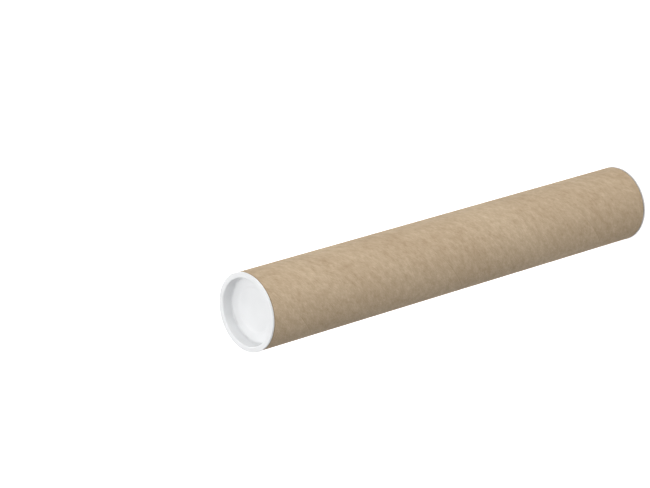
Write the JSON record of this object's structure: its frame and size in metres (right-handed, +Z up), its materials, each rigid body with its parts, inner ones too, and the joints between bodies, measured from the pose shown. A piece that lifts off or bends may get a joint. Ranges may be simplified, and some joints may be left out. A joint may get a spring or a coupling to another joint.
{
  "type": "cardboard mailing tube",
  "caption": "Plain kraft mailing tube of spiral-wound board, closed at each end by a recessed white plastic plug cap that pulls off.",
  "frame": {"origin": "middle of the lower cap's rim, on the surface that the tube stands on", "axes": "+Z up along the tube's axis, from the lower cap to the upper cap; X and Y lie across it"},
  "size_m": [0.0502, 0.0502, 0.3332],
  "materials": {
    "kraft_board": "matt uncoated brown kraft paper",
    "cap_plastic": "satin white polyethylene"
  },
  "bodies": {
    "tube": {"paper_tube": "kraft_board"},
    "upper_cap": {"upper_cap": "cap_plastic"},
    "lower_cap": {"lower_cap": "cap_plastic"}
  },
  "joints": [
    {"name": "upper_cap_pull", "type": "slide", "parent": "tube", "child": "upper_cap", "axis": [0, 0, 1], "range_m": [0, 0.03]},
    {"name": "lower_cap_pull", "type": "slide", "parent": "tube", "child": "lower_cap", "axis": [0, 0, -1], "range_m": [0, 0.03]}
  ]
}
